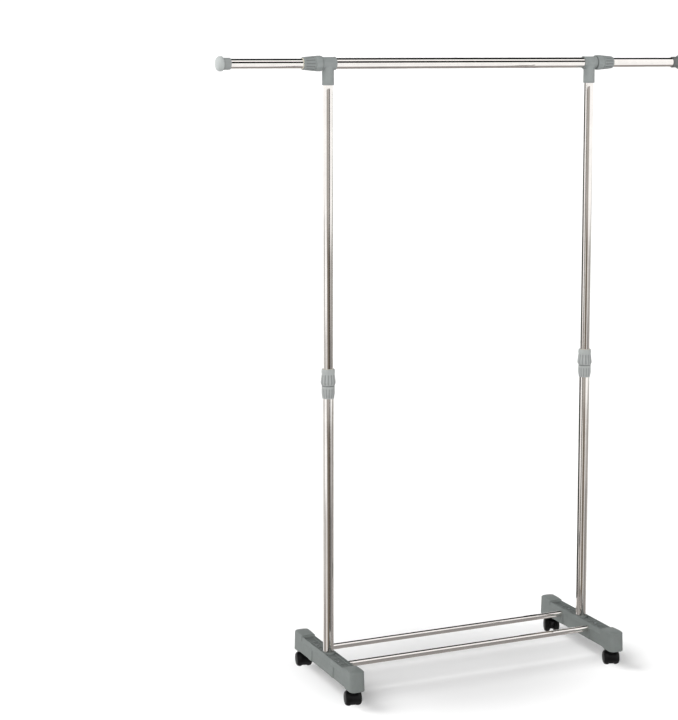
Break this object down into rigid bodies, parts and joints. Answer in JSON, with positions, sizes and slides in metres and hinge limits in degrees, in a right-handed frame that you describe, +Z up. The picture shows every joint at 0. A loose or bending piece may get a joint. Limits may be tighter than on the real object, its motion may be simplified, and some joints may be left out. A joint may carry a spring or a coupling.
{
  "type": "rolling clothes rack",
  "caption": "Rolling clothes rack with telescopic posts and top rail arms locked by twist nuts, moulded feet joined by shoe rails, on swivelling twin-wheel casters.",
  "frame": {"origin": "on the floor, midway between the two posts and midway between the ends of the feet", "axes": "+X along the top rail to the right, +Y across the feet to the back, +Z up"},
  "size_m": [1.37, 0.3888, 1.6519],
  "materials": {
    "polished_tube": "stainless steel tube, rolled, seam-welded and polished bright",
    "joint_plastic": "injection-moulded ABS in a cool mid grey, satin",
    "foot_plastic": "injection-moulded polypropylene in a darker grey, fine satin texture",
    "cap_plastic": "moulded polyethylene in a pale grey, smooth",
    "insert_plastic": "natural nylon, moulded",
    "plated_fastener": "zinc-plated steel",
    "caster_plastic": "black moulded nylon, half gloss",
    "wheel_plastic": "black moulded nylon wheel with a satin tread"
  },
  "bodies": {
    "base": {"left_foot": "foot_plastic", "left_lower_post": "polished_tube", "left_post_plug": "insert_plastic", "left_post_screw": "plated_fastener", "left_post_ferrule": "joint_plastic", "left_post_collet": "insert_plastic", "right_foot": "foot_plastic", "right_lower_post": "polished_tube", "right_post_plug": "insert_plastic", "right_post_screw": "plated_fastener", "right_post_ferrule": "joint_plastic", "right_post_collet": "insert_plastic", "front_shoe_rail": "polished_tube", "front_left_rail_screw": "plated_fastener", "front_left_caster_stem": "plated_fastener", "front_right_rail_screw": "plated_fastener", "front_right_caster_stem": "plated_fastener", "back_shoe_rail": "polished_tube", "back_left_rail_screw": "plated_fastener", "back_left_caster_stem": "plated_fastener", "back_right_rail_screw": "plated_fastener", "back_right_caster_stem": "plated_fastener"},
    "upper_frame": {"left_upper_post": "polished_tube", "left_post_bush": "insert_plastic", "left_connector": "joint_plastic", "left_arm_collet": "insert_plastic", "right_upper_post": "polished_tube", "right_post_bush": "insert_plastic", "right_connector": "joint_plastic", "right_arm_collet": "insert_plastic", "top_rail": "polished_tube"},
    "left_post_nut_body": {"left_post_nut": "joint_plastic"},
    "left_arm_nut_body": {"left_arm_nut": "joint_plastic"},
    "left_arm_body": {"left_arm": "polished_tube", "left_arm_bush": "insert_plastic", "left_end_cap": "cap_plastic"},
    "right_post_nut_body": {"right_post_nut": "joint_plastic"},
    "right_arm_nut_body": {"right_arm_nut": "joint_plastic"},
    "right_arm_body": {"right_arm": "polished_tube", "right_arm_bush": "insert_plastic", "right_end_cap": "cap_plastic"},
    "front_left_caster_swivel": {"front_left_caster_hood": "caster_plastic", "front_left_caster_axle": "plated_fastener"},
    "front_left_caster_wheel_1_body": {"front_left_caster_wheel_1": "wheel_plastic"},
    "front_left_caster_wheel_2_body": {"front_left_caster_wheel_2": "wheel_plastic"},
    "front_right_caster_swivel": {"front_right_caster_hood": "caster_plastic", "front_right_caster_axle": "plated_fastener"},
    "front_right_caster_wheel_1_body": {"front_right_caster_wheel_1": "wheel_plastic"},
    "front_right_caster_wheel_2_body": {"front_right_caster_wheel_2": "wheel_plastic"},
    "back_left_caster_swivel": {"back_left_caster_hood": "caster_plastic", "back_left_caster_axle": "plated_fastener"},
    "back_left_caster_wheel_1_body": {"back_left_caster_wheel_1": "wheel_plastic"},
    "back_left_caster_wheel_2_body": {"back_left_caster_wheel_2": "wheel_plastic"},
    "back_right_caster_swivel": {"back_right_caster_hood": "caster_plastic", "back_right_caster_axle": "plated_fastener"},
    "back_right_caster_wheel_1_body": {"back_right_caster_wheel_1": "wheel_plastic"},
    "back_right_caster_wheel_2_body": {"back_right_caster_wheel_2": "wheel_plastic"}
  },
  "joints": [
    {"name": "height_slide", "type": "slide", "parent": "base", "child": "upper_frame", "axis": [0, 0, 1], "range_m": [-0.7, 0]},
    {"name": "left_arm_slide", "type": "slide", "parent": "upper_frame", "child": "left_arm_body", "axis": [-1, 0, 0], "range_m": [-0.19, 0.115]},
    {"name": "left_post_nut_turn", "type": "hinge", "parent": "base", "child": "left_post_nut_body", "pos_m": [-0.385, 0, 0.803], "axis": [0, 0, 1], "range_deg": [0, 180]},
    {"name": "left_arm_nut_turn", "type": "hinge", "parent": "upper_frame", "child": "left_arm_nut_body", "pos_m": [-0.385, 0, 1.632], "axis": [-1, 0, 0], "range_deg": [0, 180]},
    {"name": "right_arm_slide", "type": "slide", "parent": "upper_frame", "child": "right_arm_body", "axis": [1, 0, 0], "range_m": [-0.19, 0.115]},
    {"name": "right_post_nut_turn", "type": "hinge", "parent": "base", "child": "right_post_nut_body", "pos_m": [0.385, 0, 0.803], "axis": [0, 0, 1], "range_deg": [0, 180]},
    {"name": "right_arm_nut_turn", "type": "hinge", "parent": "upper_frame", "child": "right_arm_nut_body", "pos_m": [0.385, 0, 1.632], "axis": [1, 0, 0], "range_deg": [0, 180]},
    {"name": "front_left_caster_swivel_turn", "type": "hinge", "parent": "base", "child": "front_left_caster_swivel", "pos_m": [-0.385, -0.163, 0.046], "axis": [0, 0, 1], "continuous": true},
    {"name": "front_left_caster_wheel_1_spin", "type": "hinge", "parent": "front_left_caster_swivel", "child": "front_left_caster_wheel_1_body", "pos_m": [-0.38326, -0.15315, 0.0197], "axis": [-0.9848, 0.1736, 0], "continuous": true},
    {"name": "front_left_caster_wheel_2_spin", "type": "hinge", "parent": "front_left_caster_swivel", "child": "front_left_caster_wheel_2_body", "pos_m": [-0.38326, -0.15315, 0.0197], "axis": [-0.9848, 0.1736, 0], "continuous": true},
    {"name": "front_right_caster_swivel_turn", "type": "hinge", "parent": "base", "child": "front_right_caster_swivel", "pos_m": [0.385, -0.163, 0.046], "axis": [0, 0, 1], "continuous": true},
    {"name": "front_right_caster_wheel_1_spin", "type": "hinge", "parent": "front_right_caster_swivel", "child": "front_right_caster_wheel_1_body", "pos_m": [0.38809, -0.15349, 0.0197], "axis": [-0.9511, 0.309, 0], "continuous": true},
    {"name": "front_right_caster_wheel_2_spin", "type": "hinge", "parent": "front_right_caster_swivel", "child": "front_right_caster_wheel_2_body", "pos_m": [0.38809, -0.15349, 0.0197], "axis": [-0.9511, 0.309, 0], "continuous": true},
    {"name": "back_left_caster_swivel_turn", "type": "hinge", "parent": "base", "child": "back_left_caster_swivel", "pos_m": [-0.385, 0.163, 0.046], "axis": [0, 0, 1], "continuous": true},
    {"name": "back_left_caster_wheel_1_spin", "type": "hinge", "parent": "back_left_caster_swivel", "child": "back_left_caster_wheel_1_body", "pos_m": [-0.38344, 0.17288, 0.0197], "axis": [-0.9877, 0.1564, 0], "continuous": true},
    {"name": "back_left_caster_wheel_2_spin", "type": "hinge", "parent": "back_left_caster_swivel", "child": "back_left_caster_wheel_2_body", "pos_m": [-0.38344, 0.17288, 0.0197], "axis": [-0.9877, 0.1564, 0], "continuous": true},
    {"name": "back_right_caster_swivel_turn", "type": "hinge", "parent": "base", "child": "back_right_caster_swivel", "pos_m": [0.385, 0.163, 0.046], "axis": [0, 0, 1], "continuous": true},
    {"name": "back_right_caster_wheel_1_spin", "type": "hinge", "parent": "back_right_caster_swivel", "child": "back_right_caster_wheel_1_body", "pos_m": [0.38158, 0.1536, 0.0197], "axis": [0.9397, -0.342, 0], "continuous": true},
    {"name": "back_right_caster_wheel_2_spin", "type": "hinge", "parent": "back_right_caster_swivel", "child": "back_right_caster_wheel_2_body", "pos_m": [0.38158, 0.1536, 0.0197], "axis": [0.9397, -0.342, 0], "continuous": true}
  ]
}
